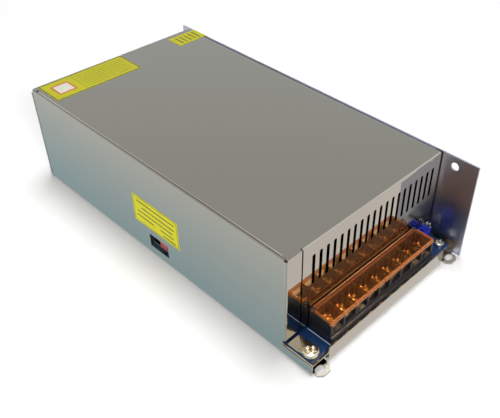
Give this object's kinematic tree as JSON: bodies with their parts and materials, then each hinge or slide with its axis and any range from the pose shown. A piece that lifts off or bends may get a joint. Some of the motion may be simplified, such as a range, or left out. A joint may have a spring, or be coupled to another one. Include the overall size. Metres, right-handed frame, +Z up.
{
  "type": "enclosed switching power supply",
  "caption": "Enclosed switching power supply in a folded metal case with slotted front wall, screw terminal block under a flip cover, mounting ears and rear fan.",
  "frame": {"origin": "middle of the base, midway between the case's sides and between the ends of the mounting ears", "axes": "+X to the taller, drilled side wall, +Y from the terminals to the fan end, +Z up"},
  "size_m": [0.1251, 0.246, 0.0651],
  "materials": {
    "case_metal": "satin rolled sheet",
    "screw_steel": "zinc plated",
    "nickel_plate": "nickel plated",
    "circuit_board": "blue solder mask",
    "polyester_film": "thin sheet",
    "standoff_brass": "turned",
    "block_plastic": "moulded",
    "contact_metal": "tinned",
    "amber_plastic": "clear tinted",
    "trimmer_blue": "moulded",
    "white_plastic": "moulded",
    "clear_lens": "clear",
    "switch_black": "moulded",
    "switch_red": "moulded",
    "fan_plastic": "moulded",
    "motor_winding": "enamelled copper on steel",
    "lead_sleeve": "soft sleeve",
    "heatsink_aluminium": "extruded",
    "epoxy_black": "moulded",
    "pad_grey": "silicone pad",
    "clamp_steel": "zinc plated",
    "ferrite": "sintered",
    "winding_tape": "polyester tape over copper",
    "copper_wire": "enamelled copper",
    "core_coating": "coated ring core",
    "sleeve_dark": "shrink sleeve",
    "film_yellow": "moulded box",
    "relay_shell": "moulded box",
    "disc_coating": "coated disc",
    "fuse_glass": "glass with end caps",
    "shunt_wire": "bare wire",
    "sticker_yellow": "plain sticker"
  },
  "bodies": {
    "case": {"chassis": "case_metal", "top_cover": "case_metal", "cover_screws": "screw_steel", "rear_screws": "screw_steel", "top_label": "sticker_yellow", "seal_label": "sticker_yellow", "side_label": "sticker_yellow", "fan_frame": "fan_plastic", "fan_stator": "motor_winding", "fan_screws": "screw_steel", "fan_header": "white_plastic", "fan_plug": "white_plastic", "fan_lead": "lead_sleeve", "main_board": "circuit_board", "insulating_film": "polyester_film", "board_standoffs": "standoff_brass", "board_screws": "screw_steel", "board_clip": "nickel_plate", "clip_screw": "nickel_plate", "terminal_block": "block_plastic", "terminal_plates": "contact_metal", "terminal_washers": "contact_metal", "terminal_screws": "nickel_plate", "trimmer_body": "trimmer_blue", "indicator_lamp": "clear_lens", "selector_body": "switch_black", "primary_heatsink": "heatsink_aluminium", "output_heatsink": "heatsink_aluminium", "power_transistors": "epoxy_black", "output_rectifiers": "epoxy_black", "bridge_rectifier": "epoxy_black", "insulating_pads": "pad_grey", "clamp_bars": "clamp_steel", "clamp_screws": "screw_steel", "transformer_core": "ferrite", "transformer_winding": "winding_tape", "driver_transformer": "winding_tape", "filter_choke_core": "ferrite", "filter_choke_winding": "copper_wire", "output_choke_core": "core_coating", "output_choke_winding": "copper_wire", "bulk_capacitors": "sleeve_dark", "output_capacitors": "sleeve_dark", "film_capacitors": "film_yellow", "relay": "relay_shell", "inrush_thermistor": "disc_coating", "fuse": "fuse_glass", "fuse_clips": "contact_metal", "current_shunts": "shunt_wire", "control_board": "circuit_board", "control_chip": "epoxy_black"},
    "fan_rotor": {"fan_rotor": "fan_plastic"},
    "terminal_cover": {"terminal_cover": "amber_plastic"},
    "trimmer_rotor": {"trimmer_rotor": "white_plastic"},
    "selector_slider": {"selector_slider": "switch_red"}
  },
  "joints": [
    {"name": "fan_spin", "type": "hinge", "parent": "case", "child": "fan_rotor", "pos_m": [0, 0.1, 0.0325], "axis": [0, 1, 0], "continuous": true},
    {"name": "cover_flip", "type": "hinge", "parent": "case", "child": "terminal_cover", "pos_m": [-0.0018, -0.1018, 0.0216], "axis": [-1, 0, 0], "range_deg": [0, 85]},
    {"name": "trimmer_turn", "type": "hinge", "parent": "case", "child": "trimmer_rotor", "pos_m": [0.0501, -0.1029, 0.0175], "axis": [0, 0, 1], "range_deg": [-135, 135]},
    {"name": "selector_slide", "type": "slide", "parent": "case", "child": "selector_slider", "axis": [0, 1, 0], "range_m": [0, 0.007]}
  ]
}
